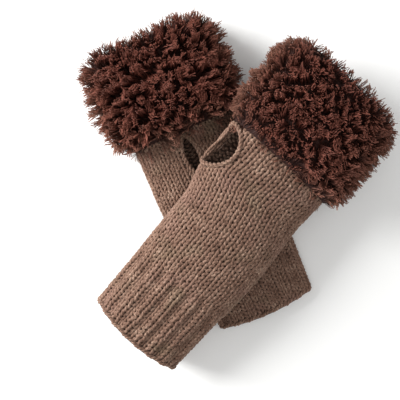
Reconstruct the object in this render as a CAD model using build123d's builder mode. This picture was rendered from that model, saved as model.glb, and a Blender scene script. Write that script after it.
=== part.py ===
from build123d import *

import math
import os

# A pair of hand-knitted fingerless gloves with deep faux-fur cuffs, lying crossed on a flat
# surface. The right glove lies empty and flat underneath. The left glove lies across it and
# keeps the rounded shape of the hand that wore it. Each glove is knitted in the round from
# the wrist up, so no seam runs along it. Millimetres, +Z up, and the origin is the middle of
# the pair's box, on the surface.

# ---- the knitted fabric -----------------------------------------------------------------
fabric_wall = 3.2        # thickness of the ribbed and plain worsted fabric
cast_on_height = 3.6     # the firm first round at the wrist
rib_length = 52.0        # wrist rib, 16 rounds
hand_length = 104.0      # plain rounds from the rib to the fur
join_height = 3.0        # the round where the fur yarn is picked up
fur_height = 76.0        # finger cuff, from the join to its last round
cast_off_height = 4.0    # the last round of the fur cuff's ground
fur_rounds = 6           # rounds of fur yarn stacked up the cuff
worn_stretch = 1.1       # how much longer the left glove's fabric stays after wear

# ---- the right glove, empty and flat ----------------------------------------------------
flat_half_width = 44.5       # half the flat width across the hand
flat_cuff_narrowing = 4.0    # how much less that is at the cast-on edge
flat_cuff_thinning = 2.0     # how much thinner the firm cuff lies there
flat_lean = 0.5              # how far each next section lies to the left
flat_side_taper = 1.0        # how much the sides draw in at the rib and below the fur
flat_end_taper = 2.0         # and where the fur cuff begins
flat_thickness = 16.0        # both layers and the little air between them
flat_fold_height = 6.0       # the side folds stand widest at this height
flat_fur_half_width = 57.0   # the packed pile, without its loose tips
flat_fur_thickness = 44.0
flat_fur_fold_height = 19.0
fur_underlay_angle = 5.2     # degrees that the pile underneath lifts the finger end
fur_underlay_start = 12.0    # how far below the fur the fabric starts to lift

# ---- the left glove, still hand-shaped --------------------------------------------------
worn_wrist_half_width = 40.5
worn_wrist_half_depth = 20.0
worn_palm_half_width = 46.0
worn_palm_half_depth = 18.5
worn_fur_half_width = 56.0
worn_fur_half_depth = 31.0
worn_palm_shift = 9.0        # the palm widens to the thumb side by this
worn_roll = 8.0              # degrees that the palm is turned, thumb side up

# ---- how the fur cuffs round off towards their two ends ---------------------------------
fur_shoulder = 12.0          # length of the rounding
fur_shoulder_drop = 7.0      # how far the pile draws in there

# ---- the thumb openings -----------------------------------------------------------------
thumb_opening_length = 34.0
thumb_opening_gap = 0.5      # plain fabric left between the opening and the fur
thumb_edge_width = 2.6       # the firm selvedge stitches round the opening
worn_opening_width = 32.0    # held open by the thumb's shape
worn_opening_tilt = 31.0     # degrees from straight up, to the thumb side
worn_opening_across = 46.0   # from the wrist's centre line to the opening's middle
flat_opening_width = 10.0    # almost closed on the upper layer
flat_opening_across = 4.5

# ---- yarn tails woven in on the inside --------------------------------------------------
tail_radius = 1.0
tail_length = 38.0
tail_clearance = 0.3
tail_inset = 6.0             # from the wrist edge, or from the join
flat_tail_across = 28.0      # in the flat glove it lies near the side fold

# ---- how the pair lies ------------------------------------------------------------------
right_turn = 114.0           # direction from wrist to fingers, degrees from +X
left_turn = 47.7
right_wrist_reach = 72.0     # from the crossing back to the cast-on edge
left_wrist_reach = 111.0
layer_gap = 1.0              # air between the gloves where they cross
wrist_droop = 11.5           # how far the free wrist end of the left glove sinks
fur_rise = 6.0               # how far its fur cuff stands higher than its palm

cutter_reach = 40.0          # long enough to pass out through one layer

flat_knit_end = rib_length + hand_length
flat_end = flat_knit_end + fur_height
worn_rib_end = rib_length * worn_stretch
worn_knit_end = flat_knit_end * worn_stretch
worn_end = worn_knit_end + fur_height
crossing_height = flat_thickness + layer_gap + worn_palm_half_depth
fur_centre_height = crossing_height + fur_rise


def glove_plane(turn, reach):
    """A plane across the wrist end: x to the left of the glove, y up, z to the fingers."""
    angle = math.radians(turn)
    return Plane(
        origin=(-reach * math.cos(angle), -reach * math.sin(angle), 0),
        x_dir=(-math.sin(angle), math.cos(angle), 0),
        z_dir=(math.cos(angle), math.sin(angle), 0),
    )


def tube_form(plane, stations, growth):
    """A closed solid through oval sections, each grown by the same amount."""
    with BuildPart() as form:
        for along, shift, height, half_width, half_depth, roll in stations:
            with BuildSketch(plane.offset(along)):
                with Locations(Location((shift, height, 0), (0, 0, roll))):
                    Ellipse(half_width + growth, half_depth + growth)
        loft(ruled=True)
    return form.part


def laid_flat(form, plane, height):
    """Presses the underside level, and lets it rise where the fur pile lifts the fabric."""
    lift = math.radians(fur_underlay_angle)
    lift_start = plane.origin + plane.z_dir * (flat_knit_end - fur_underlay_start)
    lifted = Plane(
        origin=lift_start + plane.y_dir * height,
        x_dir=plane.x_dir,
        z_dir=plane.y_dir * math.cos(lift) - plane.z_dir * math.sin(lift),
    )
    with BuildPart() as pressed:
        add(form)
        split(bisect_by=Plane.XY.offset(height), keep=Keep.TOP)
        split(bisect_by=lifted, keep=Keep.TOP)
    return pressed.part


def on_surface(form):
    """Cuts a form off level with the surface that the pair lies on."""
    with BuildPart() as cut:
        add(form)
        split(bisect_by=Plane.XY, keep=Keep.TOP)
    return cut.part


def hollowed(outer, inner):
    """What is left of a solid when its inside is taken out."""
    with BuildPart() as shell:
        add(outer)
        add(inner, mode=Mode.SUBTRACT)
    return shell.part


def common(first, second):
    """The part of one solid that lies in another."""
    with BuildPart() as overlap:
        add(first)
        add(second, mode=Mode.INTERSECT)
    return overlap.part


def band(shell, plane, start, end):
    """The ring of a shell between two distances from the wrist end."""
    with BuildPart() as ring:
        add(shell)
        split(bisect_by=plane.offset(start), keep=Keep.TOP)
        split(bisect_by=plane.offset(end), keep=Keep.BOTTOM)
    return ring.part


def opening_cutters(plane, knit_end, tilt, across, height, width):
    """Two eye-shaped prisms through one layer: the opening, and the opening with its edge."""
    lean = math.radians(tilt)
    middle = knit_end - thumb_opening_gap - thumb_edge_width - thumb_opening_length / 2
    seat = plane.origin + plane.z_dir * middle + plane.x_dir * across + plane.y_dir * height
    outward = plane.x_dir * math.sin(lean) + plane.y_dir * math.cos(lean)
    cutters = []
    for edge in (0, thumb_edge_width):
        tip = thumb_opening_length / 2 + edge
        belly = width / 2 + edge
        with BuildPart() as cutter:
            with BuildSketch(Plane(origin=seat, x_dir=plane.z_dir, z_dir=outward)):
                with BuildLine():
                    ThreePointArc((-tip, 0), (0, belly), (tip, 0))
                    ThreePointArc((tip, 0), (0, -belly), (-tip, 0))
                make_face()
            extrude(amount=cutter_reach)
        cutters.append(cutter.part)
    return cutters


def inner_floor(stations, along):
    """The height of the lowest line of a tube's inside, at one distance from the wrist."""
    for near, far in zip(stations, stations[1:]):
        if near[0] <= along <= far[0]:
            share = (along - near[0]) / (far[0] - near[0])
            height = near[2] + share * (far[2] - near[2])
            depth = near[4] + share * (far[4] - near[4])
            return height - depth + fabric_wall


def yarn_tail(plane, start, across, floor_at):
    """A straight end of yarn that lies along the inside of the glove."""
    with BuildPart() as tail:
        for along in (start, start + tail_length):
            with BuildSketch(plane.offset(along)):
                with Locations((across, floor_at(along) + tail_clearance + tail_radius)):
                    Circle(tail_radius)
        loft(ruled=True)
    return tail.part


def keep(side, name, part):
    """Labels a piece with its glove's side and keeps it for the files."""
    part.label = side + "_" + name
    pieces.append(part)


def knit_glove(side, plane, skin, inside, pile, rib_end, knit_end, cutters):
    """Cuts one glove's forms into the pieces that it is knitted from."""
    opening, opening_with_edge = cutters
    fur_start = knit_end + join_height
    fur_end = knit_end + fur_height
    ground_end = fur_end - cast_off_height
    shell = hollowed(skin, inside)
    hand = band(shell, plane, rib_end, knit_end)
    keep(side, "cast_on_edge", band(shell, plane, 0, cast_on_height))
    keep(side, "rib_cuff", band(shell, plane, cast_on_height, rib_end))
    keep(side, "hand", hollowed(hand, opening_with_edge))
    keep(side, "thumb_edge", hollowed(common(hand, opening_with_edge), opening))
    keep(side, "fur_join", band(shell, plane, knit_end, fur_start))
    keep(side, "fur_ground", band(shell, plane, fur_start, ground_end))
    keep(side, "fur_cast_off", band(shell, plane, ground_end, fur_end))
    ring = hollowed(pile, skin)
    round_height = fur_height / fur_rounds
    for number in range(fur_rounds):
        low = knit_end + number * round_height
        keep(side, f"fur_round_{number + 1}", band(ring, plane, low, low + round_height))


pieces = []

# ---- right glove: flat, thumb opening almost closed on top -------------------------------
# Each station: distance from the wrist, shift across, height, half width, half depth, roll.
right_plane = glove_plane(right_turn, right_wrist_reach)
fold = flat_fold_height
half_depth = flat_thickness - fold
palm = flat_half_width
lift_start = flat_knit_end - fur_underlay_start
side = palm - flat_side_taper
end_side = palm - flat_end_taper
right_stations = [
    (0, 0, fold - 1, palm - flat_cuff_narrowing, half_depth - flat_cuff_thinning, 0),
    (rib_length, flat_lean, fold - 0.5, side, half_depth - 0.5, 0),
    (rib_length + 0.5 * hand_length, 2 * flat_lean, fold, palm, half_depth, 0),
    (lift_start, 3 * flat_lean, fold + 1, side, half_depth + 1, 0),
    (flat_knit_end, 4 * flat_lean, fold + 3, end_side, half_depth + 1.5, 0),
    (flat_end, 7 * flat_lean, fold + 10, end_side, half_depth + 1.5, 0),
]
fold = flat_fur_fold_height
half_depth = flat_fur_thickness - fold
width = flat_fur_half_width
drop = fur_shoulder_drop
right_pile_stations = [
    (flat_knit_end, 4 * flat_lean, fold - 4, width - drop, half_depth - drop, 0),
    (flat_knit_end + fur_shoulder, 6 * flat_lean, fold - 1, width - 1, half_depth - 2, 0),
    (flat_knit_end + 0.5 * fur_height, 7 * flat_lean, fold, width, half_depth, 0),
    (flat_end - fur_shoulder, 7 * flat_lean, fold, width - 1, half_depth - 2, 0),
    (flat_end, 7 * flat_lean, fold - 1, width - drop, half_depth - drop, 0),
]
right_cutters = opening_cutters(
    right_plane, flat_knit_end, 0, flat_opening_across, flat_fold_height, flat_opening_width
)
knit_glove(
    "right",
    right_plane,
    laid_flat(tube_form(right_plane, right_stations, 0), right_plane, 0),
    laid_flat(tube_form(right_plane, right_stations, -fabric_wall), right_plane, fabric_wall),
    on_surface(tube_form(right_plane, right_pile_stations, 0)),
    rib_length,
    flat_knit_end,
    right_cutters,
)


def right_floor(along):
    """The height of the flat glove's inner underside."""
    rise = max(0.0, along - (flat_knit_end - fur_underlay_start))
    return fabric_wall + rise * math.tan(math.radians(fur_underlay_angle))


right_fur_tail_start = flat_knit_end + join_height + tail_inset
across = flat_tail_across
keep("right", "cast_on_tail", yarn_tail(right_plane, tail_inset, across, right_floor))
keep("right", "fur_tail", yarn_tail(right_plane, right_fur_tail_start, across, right_floor))

# ---- left glove: rounded, thumb opening held open on its thumb side ----------------------
left_plane = glove_plane(left_turn, left_wrist_reach)
height = crossing_height
wrist = worn_wrist_half_width
palm = worn_palm_half_width
half_depth = worn_palm_half_depth
left_stations = [
    (0, 0, height - wrist_droop, wrist, worn_wrist_half_depth, 0),
    (worn_rib_end, 1, height - 3, wrist + 1, half_depth + 0.5, 0),
    (worn_rib_end + 28, 1.5, height, wrist + 2, half_depth, 1),
    (worn_knit_end - 62, 2.5, height + 1, wrist + 2, half_depth, 0.4 * worn_roll),
    (worn_knit_end - 30, worn_palm_shift, height + 2.5, palm, half_depth, 0.8 * worn_roll),
    (worn_knit_end, worn_palm_shift - 1, height + 4, palm, half_depth, worn_roll),
    (worn_end, worn_palm_shift + 1, fur_centre_height, palm - 1, half_depth, worn_roll),
]
height = fur_centre_height
width = worn_fur_half_width
half_depth = worn_fur_half_depth
shift = worn_palm_shift + 1
left_pile_stations = [
    (worn_knit_end, shift - 5, height - 4, width - drop, half_depth - drop, worn_roll),
    (worn_knit_end + fur_shoulder, shift - 3, height - 2, width - 1, half_depth - 2, worn_roll),
    (worn_knit_end + 0.5 * fur_height, shift, height, width, half_depth, worn_roll),
    (worn_end - fur_shoulder, shift, height, width - 1, half_depth - 2, worn_roll),
    (worn_end, shift, height, width - drop, half_depth - drop, worn_roll),
]
left_cutters = opening_cutters(
    left_plane,
    worn_knit_end,
    worn_opening_tilt,
    worn_opening_across,
    crossing_height + 5,
    worn_opening_width,
)
knit_glove(
    "left",
    left_plane,
    tube_form(left_plane, left_stations, 0),
    tube_form(left_plane, left_stations, -fabric_wall),
    tube_form(left_plane, left_pile_stations, 0),
    worn_rib_end,
    worn_knit_end,
    left_cutters,
)


def left_floor(along):
    """The height of the rounded glove's inner underside."""
    return inner_floor(left_stations, along)


left_fur_tail_start = worn_knit_end + join_height + tail_inset
keep("left", "cast_on_tail", yarn_tail(left_plane, tail_inset, 0.5, left_floor))
keep("left", "fur_tail", yarn_tail(left_plane, left_fur_tail_start, shift - 1, left_floor))

# ---- one file for each piece, with the pair's box centred on the origin ------------------
pair_box = Compound(children=[piece.moved(Location()) for piece in pieces]).bounding_box()
centring = Location((-pair_box.center().X, -pair_box.center().Y, -pair_box.min.Z))
os.makedirs("parts", exist_ok=True)
for piece in pieces:
    export_step(piece.moved(centring), "parts/" + piece.label + ".step")
print("pair", [round(size, 1) for size in pair_box.size], "moved by", centring.position)
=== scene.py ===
# %% [markdown]
# # A crossed pair of fingerless gloves
# Each glove is knitted in the round from the wrist up: a ribbed cuff, a plain hand with an
# opening for the thumb, and a deep finger cuff of fur yarn. The CAD model gives every
# piece its size and place. This script lays real loops of yarn along those surfaces and
# grows the fur from them, so that holes, ridges and tufts are shapes and not paint.

# %% Load the frame that everything is built around
import math

import bpy
import numpy as np
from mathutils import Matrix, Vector
from mathutils.bvhtree import BVHTree


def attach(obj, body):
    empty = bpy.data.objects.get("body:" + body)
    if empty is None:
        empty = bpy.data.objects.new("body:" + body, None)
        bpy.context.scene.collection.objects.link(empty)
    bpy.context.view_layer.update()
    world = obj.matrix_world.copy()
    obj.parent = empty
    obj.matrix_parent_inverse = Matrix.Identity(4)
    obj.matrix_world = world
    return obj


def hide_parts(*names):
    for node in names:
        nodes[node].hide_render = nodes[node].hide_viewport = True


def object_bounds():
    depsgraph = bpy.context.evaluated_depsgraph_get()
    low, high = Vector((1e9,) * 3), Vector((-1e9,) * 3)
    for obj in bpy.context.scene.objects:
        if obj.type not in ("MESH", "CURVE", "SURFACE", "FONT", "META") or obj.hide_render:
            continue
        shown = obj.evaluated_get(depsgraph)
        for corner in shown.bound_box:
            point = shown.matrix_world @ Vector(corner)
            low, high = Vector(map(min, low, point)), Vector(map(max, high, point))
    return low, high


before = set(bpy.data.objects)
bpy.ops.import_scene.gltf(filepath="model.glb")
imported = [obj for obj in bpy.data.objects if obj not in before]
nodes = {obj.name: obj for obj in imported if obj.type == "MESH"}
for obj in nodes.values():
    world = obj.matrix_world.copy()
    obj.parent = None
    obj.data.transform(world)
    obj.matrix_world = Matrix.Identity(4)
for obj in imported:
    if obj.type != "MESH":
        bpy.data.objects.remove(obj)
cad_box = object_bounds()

MM = 0.001
TURN = 2 * math.pi
scene = bpy.context.scene
box_mm = [round(side / MM) for corner in cad_box for side in corner]
print("CAD pieces:", len(nodes), "box in mm:", box_mm)

# %% [markdown]
# ## Camera, floor and light
# The pair lies on a white table and is seen from straight above. A near camera matters: it
# makes the upper glove a little larger than the lower one, and bows the edge of its wrist.
# Light comes from one large soft window at the upper left, a weak wide lamp overhead that
# stands for the ceiling, and a pale room all round. A white table throws some of it back.

# %% Camera, floor and light
CAMERA_HEIGHT = 0.600
HALF_VIEW = 0.2653          # tangent of half the view's angle
CAMERA_OVER = (-0.0269, -0.0060)
SENSOR = 36.0

camera_data = bpy.data.cameras.new("overhead")
camera_data.sensor_width = SENSOR
camera_data.lens = SENSOR / 2 / HALF_VIEW
camera = bpy.data.objects.new("overhead", camera_data)
camera.location = (*CAMERA_OVER, CAMERA_HEIGHT)
scene.collection.objects.link(camera)
scene.camera = camera
scene.view_settings.view_transform = "Standard"


def linear(hex_colour):
    """Turns an sRGB hex colour into linear red, green, blue and alpha."""
    channels = []
    for place in (0, 2, 4):
        part = int(hex_colour[place:place + 2], 16) / 255
        channels.append(part / 12.92 if part <= 0.04045 else ((part + 0.055) / 1.055) ** 2.4)
    return (*channels, 1)


def add_node(tree, kind, settings=None, inputs=None):
    """Adds a node, sets its own properties, and gives its sockets values or links."""
    node = tree.nodes.new(kind)
    for name, value in (settings or {}).items():
        setattr(node, name, value)
    for name, value in (inputs or {}).items():
        if isinstance(value, bpy.types.NodeSocket):
            tree.links.new(value, node.inputs[name])
        else:
            node.inputs[name].default_value = value
    return node


def area_light(name, place, aim, size, watts):
    """A square soft light that shines from one place towards another."""
    lamp = bpy.data.lights.new(name, "AREA")
    lamp.size = size
    lamp.energy = watts
    light = bpy.data.objects.new(name, lamp)
    light.location = place
    light.rotation_euler = (Vector(aim) - Vector(place)).to_track_quat("-Z", "Y").to_euler()
    scene.collection.objects.link(light)


LIT_SPOT = (0, 0, 0.02)
ROOM_BRIGHTNESS = 0.54
area_light("window", (-0.90, 0.35, 0.52), LIT_SPOT, 0.6, 22.0)
area_light("room_fill", (0.2, -0.3, 1.1), LIT_SPOT, 1.4, 3.6)
world = bpy.data.worlds.new("pale_room")
world.use_nodes = True
room = world.node_tree.nodes["Background"]
room.inputs["Color"].default_value = (1, 1, 1, 1)
room.inputs["Strength"].default_value = ROOM_BRIGHTNESS
scene.world = world


def mesh_piece(name, points, faces=(), edges=()):
    """A new mesh object at the origin, with its place in its points."""
    mesh = bpy.data.meshes.new(name)
    mesh.from_pydata([tuple(point) for point in points], [tuple(edge) for edge in edges], faces)
    piece = bpy.data.objects.new(name, mesh)
    scene.collection.objects.link(piece)
    return piece


def table_paint():
    """Matte white paint with a hardly visible grain."""
    material = bpy.data.materials.new("white_table_paint")
    material.use_nodes = True
    tree = material.node_tree
    shader = tree.nodes["Principled BSDF"]
    grain = add_node(tree, "ShaderNodeTexNoise", None, {"Scale": 90.0, "Detail": 3.0})
    tones = {0: grain.outputs["Fac"], 6: linear("F4F4F2"), 7: linear("F8F8F7")}
    tone = add_node(tree, "ShaderNodeMix", {"data_type": "RGBA"}, tones)
    tree.links.new(tone.outputs[2], shader.inputs["Base Color"])
    shader.inputs["Roughness"].default_value = 0.9
    return material


FLOOR_HALF = 3.0
corners = [(x * FLOOR_HALF, y * FLOOR_HALF, 0) for x, y in ((-1, -1), (1, -1), (1, 1), (-1, 1))]
floor = mesh_piece("floor", corners, [(0, 1, 2, 3)])
floor.data.materials.append(table_paint())
print("camera looks down from", CAMERA_HEIGHT / MM, "mm, lens", round(camera_data.lens, 1))

# %% [markdown]
# ## Finding each glove in the frame
# A glove is a tube. Its axis is the level direction in which the cast-on edge is thinnest,
# because that ring was cut square across the tube. With the axis known, a place on the
# glove is a distance from the wrist and an angle around the tube, which is how a knitter
# counts too: rounds up the glove and stitches around it.


# %% A frame for each glove
AXIS_STEP = 0.02            # degrees between the directions that are tried for a glove's axis


def node_points(name):
    """All the corners of a CAD node, as an array."""
    mesh = nodes[name].data
    points = np.empty(len(mesh.vertices) * 3, np.float32)
    mesh.vertices.foreach_get("co", points)
    return points.reshape(-1, 3).astype(float)


def solid_tree(names):
    """A tree of the triangles of some CAD nodes, for casting rays at."""
    points, faces = [], []
    for name in names:
        start = len(points)
        points.extend(node_points(name))
        faces.extend([start + corner for corner in face.vertices] for face in nodes[name].data.polygons)
    return BVHTree.FromPolygons([Vector(point) for point in points], faces)


def glove_frame(side):
    """The directions of a glove and the distances of its parts from its wrist end."""
    edge = node_points(side + "_cast_on_edge")
    angles = np.radians(np.arange(0, 180, AXIS_STEP))
    directions = np.stack([np.cos(angles), np.sin(angles), 0 * angles])
    thickness = np.ptp(edge @ directions, axis=0)
    axis = directions[:, np.argmin(thickness)]
    if (node_points(side + "_fur_cast_off").mean(0) - edge.mean(0)) @ axis < 0:
        axis = -axis
    up = np.array([0.0, 0.0, 1.0])
    start = (edge @ axis).min()

    def span(part):
        reach = node_points(side + "_" + part) @ axis - start
        return reach.min(), reach.max()

    return {
        "side": side,
        "axis": axis,
        "across": np.cross(up, axis),
        "up": up,
        "start": start,
        "rib": span("rib_cuff"),
        "hand": span("hand"),
        "edge": span("cast_on_edge"),
        "fur": (span("fur_join")[0], span("fur_cast_off")[1]),
        "join": span("fur_join"),
        "opening_span": span("thumb_edge"),
    }


gloves = {side: glove_frame(side) for side in ("right", "left")}
for side, glove in gloves.items():
    for part in ("rib", "hand", "fur"):
        print(side, part, "from and to, mm:", [round(distance / MM, 1) for distance in glove[part]])

# %% [markdown]
# ## The surface that the yarn follows
# Rays are cast from outside towards the middle of the tube, in planes square to its axis,
# and where they land is the outer surface. The thumb opening lets a ray through, so its
# gap is bridged from both sides, and the stitches are left out there later. Each ring is
# then divided into equal lengths, because every stitch of a round is equally wide.

# %% Rings on the outer surface
RAY_REACH = 0.15            # rays start this far from the middle
RAY_COUNT = 360
WIDTH_RAYS = 25             # parallel rays that find how wide and high a tube is
WIDTH_SPREAD = 30 * MM      # how far they lie to each side
SMOOTHINGS = 2
BOW = 4.0 * MM              # how far the wrist edge bows out
BOW_REACH = 45 * MM         # and how far up the rib that is felt
NUDGE = 0.02 * MM           # keeps the first and last ring inside the solid


def ring_size(glove, tree, guess):
    """The middle, half width and half height of the tube in one plane, from its far sides."""
    far = {}
    spread = np.linspace(-WIDTH_SPREAD, WIDTH_SPREAD, WIDTH_RAYS)
    for name, other in (("across", "up"), ("up", "across")):
        way, beside = glove[name], glove[other]
        for sign in (1, -1):
            reach = -RAY_REACH
            for offset in spread:
                start = guess + beside * offset + way * sign * RAY_REACH
                hit = tree.ray_cast(Vector(start), Vector(-way * sign))[3]
                if hit:
                    reach = max(reach, RAY_REACH - hit)
            far[name, sign] = reach
    middle = [(far[name, 1] - far[name, -1]) / 2 for name in ("across", "up")]
    half = [(far[name, 1] + far[name, -1]) / 2 for name in ("across", "up")]
    return guess + glove["across"] * middle[0] + glove["up"] * middle[1], half


def outer_ring(glove, tree, centre, half):
    """Points around the tube in one plane, from its underside on."""
    turn = np.linspace(0, TURN, RAY_COUNT, endpoint=False) - TURN / 4
    ways = np.outer(half[0] * np.cos(turn), glove["across"])
    ways = ways + np.outer(half[1] * np.sin(turn), glove["up"])
    ellipse = np.linalg.norm(ways, axis=1)
    ways = ways / ellipse[:, None]
    share = np.full(RAY_COUNT, np.nan)
    for number, way in enumerate(ways):
        hit = tree.ray_cast(Vector(centre + way * RAY_REACH), Vector(-way))[3]
        if hit and hit < RAY_REACH:
            share[number] = (RAY_REACH - hit) / ellipse[number]
    known = ~np.isnan(share)
    steps = np.arange(RAY_COUNT)
    share = np.interp(steps, steps[known], share[known], period=RAY_COUNT)
    return centre + ways * (ellipse * share)[:, None]


def even_steps(ring, count):
    """The same closed ring, divided into equal lengths."""
    closed = np.vstack([ring, ring[:1]])
    run = np.concatenate([[0], np.cumsum(np.linalg.norm(np.diff(closed, axis=0), axis=1))])
    marks = np.linspace(0, run[-1], count, endpoint=False)
    return np.stack([np.interp(marks, run, closed[:, k]) for k in range(3)], axis=1)


def surface_grid(glove, parts, distances, count):
    """A grid of points on the outer surface: one ring for each distance."""
    tree = solid_tree([glove["side"] + "_" + part for part in parts])
    first = node_points(glove["side"] + "_cast_on_edge").mean(0)
    last = node_points(glove["side"] + "_fur_join").mean(0)
    sizes = []
    for distance in distances:
        guess = first + (last - first) * min(distance / glove["hand"][1], 1)
        guess = guess + glove["axis"] * (glove["start"] + distance - guess @ glove["axis"])
        centre, half = ring_size(glove, tree, guess)
        sizes.append([*centre, *half])
    sizes = np.array(sizes)
    gap_low, gap_high = glove["opening_span"]
    clear = (distances < gap_low) | (distances > gap_high)
    for column in range(sizes.shape[1]):
        sizes[:, column] = np.interp(distances, distances[clear], sizes[clear, column])
    rings = [even_steps(outer_ring(glove, tree, size[:3], size[3:]), count) for size in sizes]
    grid = np.array(rings)
    for _ in range(SMOOTHINGS):
        grid[1:-1] = (grid[:-2] + 2 * grid[1:-1] + grid[2:]) / 4
    return grid


def bowed(glove, grid, distances):
    """Lets the middle of the wrist edge stand further out than its sides, as soft ribbing does."""
    fade = np.clip(1 - distances / BOW_REACH, 0, 1) ** 1.5
    offset = (grid - grid.mean(axis=1, keepdims=True)) @ glove["across"]
    across = offset / np.abs(offset).max(axis=1, keepdims=True)
    shift = BOW * (0.5 - across ** 2) * fade[:, None]
    return grid - shift[:, :, None] * glove["axis"]


def grid_normals(grid):
    """Outward directions at the points of a grid of rings."""
    around = np.roll(grid, -1, axis=1) - np.roll(grid, 1, axis=1)
    along = np.gradient(grid, axis=0)
    outward = np.cross(around, along)
    return outward / np.linalg.norm(outward, axis=2)[:, :, None]


def on_grid(grid, around, along):
    """Values of a grid at fractions of a turn and at ring numbers, blended between points."""
    rings, count = grid.shape[:2]
    column = np.mod(around, 1) * count
    left = np.floor(column).astype(int) % count
    right = (left + 1) % count
    low = np.clip(np.floor(along).astype(int), 0, rings - 2)
    side_share = (column - np.floor(column))[:, None]
    up_share = (along - low)[:, None]
    lower = grid[low, left] * (1 - side_share) + grid[low, right] * side_share
    upper = grid[low + 1, left] * (1 - side_share) + grid[low + 1, right] * side_share
    return lower * (1 - up_share) + upper * up_share


# %% [markdown]
# ## Yarn
# Everything here is one kind of thing: a soft round yarn that follows a path. A Geometry
# Nodes tree turns a bare path into yarn: the path becomes a curve, its thickness wanders a
# little as hand-spun yarn does, and a circle is run along it. The tree also stores where
# each point lies around and along the yarn, so that the material can show the twist of
# its two plies.


# %% The yarn tree
LUMP_SCALE = 170.0          # about one thicker place in every 6 mm of yarn
YARN_SIDES = 6
YARN_UNEVENNESS = 0.25      # how much the thickness of the yarn wanders


def named_tree(name, sockets):
    """A geometry tree with a Geometry input and output and the given named inputs."""
    tree = bpy.data.node_groups.new(name, "GeometryNodeTree")
    tree.interface.new_socket("Geometry", in_out="INPUT", socket_type="NodeSocketGeometry")
    tree.interface.new_socket("Geometry", in_out="OUTPUT", socket_type="NodeSocketGeometry")
    for socket, kind in sockets.items():
        tree.interface.new_socket(socket, in_out="INPUT", socket_type="NodeSocket" + kind)
    return tree


def math_node(tree, operation, first, second=0.0):
    """The result of one sum on two numbers, in any kind of node tree."""
    return add_node(tree, "ShaderNodeMath", {"operation": operation}, {0: first, 1: second}).outputs[0]


def captured(tree, geometry, kind, value):
    """Keeps a value on a geometry as it is now; returns the geometry and the value."""
    node = add_node(tree, "GeometryNodeCaptureAttribute", None, {"Geometry": geometry})
    node.capture_items.new(kind, "Kept")
    tree.links.new(value, node.inputs[1])
    return node.outputs["Geometry"], node.outputs[1]


def random_number(tree, low, high, seed):
    """A random number for each point, between two limits."""
    inputs = {2: low, 3: high, "Seed": seed}
    return add_node(tree, "FunctionNodeRandomValue", {"data_type": "FLOAT"}, inputs).outputs[1]


def stored(tree, geometry, kind, name, value):
    """Stores a value on the points of a geometry under a name that a material can read."""
    settings = {"data_type": kind, "domain": "POINT"}
    inputs = {"Geometry": geometry, "Name": name, "Value": value}
    return add_node(tree, "GeometryNodeStoreNamedAttribute", settings, inputs).outputs[0]


def swept(tree, curve, section):
    """A closed tube: a section run along a curve, with caps."""
    inputs = {"Curve": curve, "Profile Curve": section, "Fill Caps": True}
    return add_node(tree, "GeometryNodeCurveToMesh", None, inputs).outputs[0]


def finished(tree, geometry, material):
    """Ends a tree: smooth shading, real geometry and one material."""
    geometry = add_node(tree, "GeometryNodeSetShadeSmooth", None, {"Geometry": geometry}).outputs[0]
    geometry = add_node(tree, "GeometryNodeRealizeInstances", None, {"Geometry": geometry}).outputs[0]
    inputs = {"Geometry": geometry, "Material": material}
    geometry = add_node(tree, "GeometryNodeSetMaterial", None, inputs).outputs[0]
    add_node(tree, "NodeGroupOutput", None, {"Geometry": geometry})


def build_yarn_tree(tree):
    """Fills the tree that turns a path into yarn."""
    inlet = add_node(tree, "NodeGroupInput").outputs
    path = add_node(tree, "GeometryNodeMeshToCurve", None, {"Mesh": inlet["Geometry"]}).outputs[0]
    lumps = add_node(
        tree,
        "ShaderNodeTexNoise",
        {"noise_dimensions": "4D"},
        {"W": inlet["Seed"], "Scale": LUMP_SCALE, "Detail": 1.0},
    ).outputs[0]
    swing = math_node(tree, "MULTIPLY", math_node(tree, "SUBTRACT", lumps, 0.5), inlet["Unevenness"])
    thickness = math_node(tree, "ADD", swing, 1.0)
    inputs = {"Curve": path, "Radius": thickness}
    path = add_node(tree, "GeometryNodeSetCurveRadius", None, inputs).outputs[0]
    run_along = add_node(tree, "GeometryNodeSplineParameter").outputs["Length"]
    path, run_along = captured(tree, path, "FLOAT", run_along)
    inputs = {"Resolution": inlet["Sides"], "Radius": inlet["Yarn Radius"]}
    section = add_node(tree, "GeometryNodeCurvePrimitiveCircle", None, inputs).outputs[0]
    turned = add_node(tree, "GeometryNodeSplineParameter").outputs["Factor"]
    section, turned = captured(tree, section, "FLOAT", turned)
    tube = swept(tree, path, section)
    angle = math_node(tree, "MULTIPLY", turned, TURN)
    inputs = {
        "X": math_node(tree, "COSINE", angle),
        "Y": math_node(tree, "SINE", angle),
        "Z": run_along,
    }
    wrap = add_node(tree, "ShaderNodeCombineXYZ", None, inputs).outputs[0]
    finished(tree, stored(tree, tube, "FLOAT_VECTOR", "yarn_wrap", wrap), inlet["Yarn"])


yarn_tree = named_tree(
    "yarn_on_a_path",
    {"Yarn Radius": "Float", "Sides": "Int", "Unevenness": "Float", "Seed": "Int", "Yarn": "Material"},
)
build_yarn_tree(yarn_tree)
print(yarn_tree.name, "nodes", len(yarn_tree.nodes))


def made_by(tree, piece, values):
    """Runs a geometry tree on an object and keeps the result as the object's plain mesh."""
    modifier = piece.modifiers.new(tree.name, "NODES")
    modifier.node_group = tree
    for socket in tree.interface.items_tree:
        if socket.name in values and socket.in_out == "INPUT":
            modifier[socket.identifier] = values[socket.name]
    graph = bpy.context.evaluated_depsgraph_get()
    graph.update()
    mesh = bpy.data.meshes.new_from_object(piece.evaluated_get(graph), depsgraph=graph)
    piece.modifiers.remove(modifier)
    old = piece.data
    piece.data = mesh
    mesh.name = old.name
    bpy.data.meshes.remove(old)
    return piece


def triangle_count(piece):
    """How many triangles a piece has."""
    return sum(len(face.vertices) - 2 for face in piece.data.polygons)


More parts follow.
